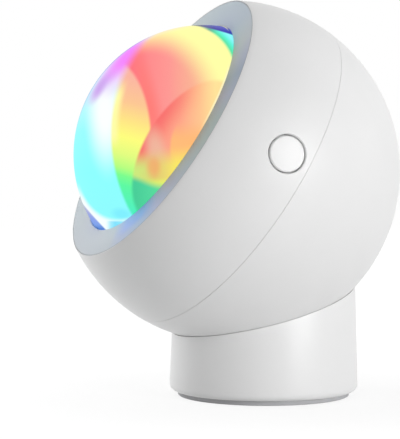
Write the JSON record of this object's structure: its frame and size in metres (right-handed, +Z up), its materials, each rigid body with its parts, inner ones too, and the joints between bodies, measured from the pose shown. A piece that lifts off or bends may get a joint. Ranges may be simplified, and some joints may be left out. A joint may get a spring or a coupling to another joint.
{
  "type": "sunset projection lamp",
  "caption": "Ball-shaped projection lamp with a domed colour lens, turning in the cupped top of a short round magnetic base.",
  "frame": {"origin": "centre of the foot pad's underside, on the base's axis", "axes": "+Z up along the base's axis, -Y the way the lens faces at rest, +X towards the push button"},
  "size_m": [0.096, 0.092, 0.1113],
  "materials": {
    "white_shell": "satin moulded white plastic",
    "front_ring": "satin pale blue grey plastic",
    "lens": "polished clear lens with shifting bands of colour",
    "colour_film": "clear disc with a colour coating",
    "reflector": "mirror-coated plastic",
    "frame_plastic": "moulded grey plastic",
    "button_white": "satin moulded white plastic",
    "black_plastic": "matt black plastic",
    "circuit_board": "green solder mask",
    "led_board": "white coated aluminium board",
    "led": "yellow phosphor under clear silicone",
    "wire_socket": "ivory plastic",
    "lead": "red insulation",
    "aluminium": "plain aluminium",
    "steel": "zinc-plated steel",
    "magnet": "nickel-plated magnet",
    "cell": "silver foil pouch",
    "ballast": "painted cast iron",
    "base_plate": "moulded grey plastic",
    "rubber_grey": "soft grey rubber",
    "rubber_dark": "dark rubber"
  },
  "bodies": {
    "base": {"base_shell": "white_shell", "magnet": "magnet", "magnet_cup": "steel", "ballast": "ballast", "base_plate": "base_plate", "base_screws": "steel", "foot_pad": "rubber_grey"},
    "friction_ring": {"seat_ring": "rubber_dark"},
    "head": {"front_shell": "white_shell", "rear_shell": "white_shell", "bezel_ring": "front_ring", "lens": "lens", "lens_gasket": "rubber_dark", "colour_filter": "colour_film", "lens_retainer": "frame_plastic", "retainer_screws": "steel", "light_cup": "reflector", "led_board": "led_board", "led_emitter": "led", "led_screws": "steel", "heat_sink": "aluminium", "heat_sink_screws": "steel", "chassis": "frame_plastic", "chassis_screws": "steel", "main_board": "circuit_board", "controller_chip": "black_plastic", "driver_coil": "black_plastic", "wire_sockets": "wire_socket", "board_screws": "steel", "battery_tray": "frame_plastic", "battery": "cell", "battery_leads": "lead", "led_leads": "lead", "switch_leads": "lead", "socket_leads": "lead", "tact_switch": "black_plastic", "switch_board": "circuit_board", "switch_screws": "steel", "charge_socket": "steel", "socket_board": "circuit_board", "socket_screws": "steel", "keeper_cap": "steel"},
    "button": {"button_cap": "button_white", "switch_plunger": "black_plastic"}
  },
  "joints": [
    {"name": "head_pan", "type": "hinge", "parent": "base", "child": "friction_ring", "pos_m": [0, -0.011, 0.0633], "axis": [0, 0, 1], "continuous": true},
    {"name": "head_tilt", "type": "hinge", "parent": "friction_ring", "child": "head", "pos_m": [0, -0.011, 0.0633], "axis": [-1, 0, 0], "range_deg": [-30.4, 59.6]},
    {"name": "button_press", "type": "slide", "parent": "head", "child": "button", "axis": [-0.9903, 0.12, -0.0704], "range_m": [0, 0.0005], "stiffness_N_per_m": 600, "springref_m": -0.0005}
  ]
}
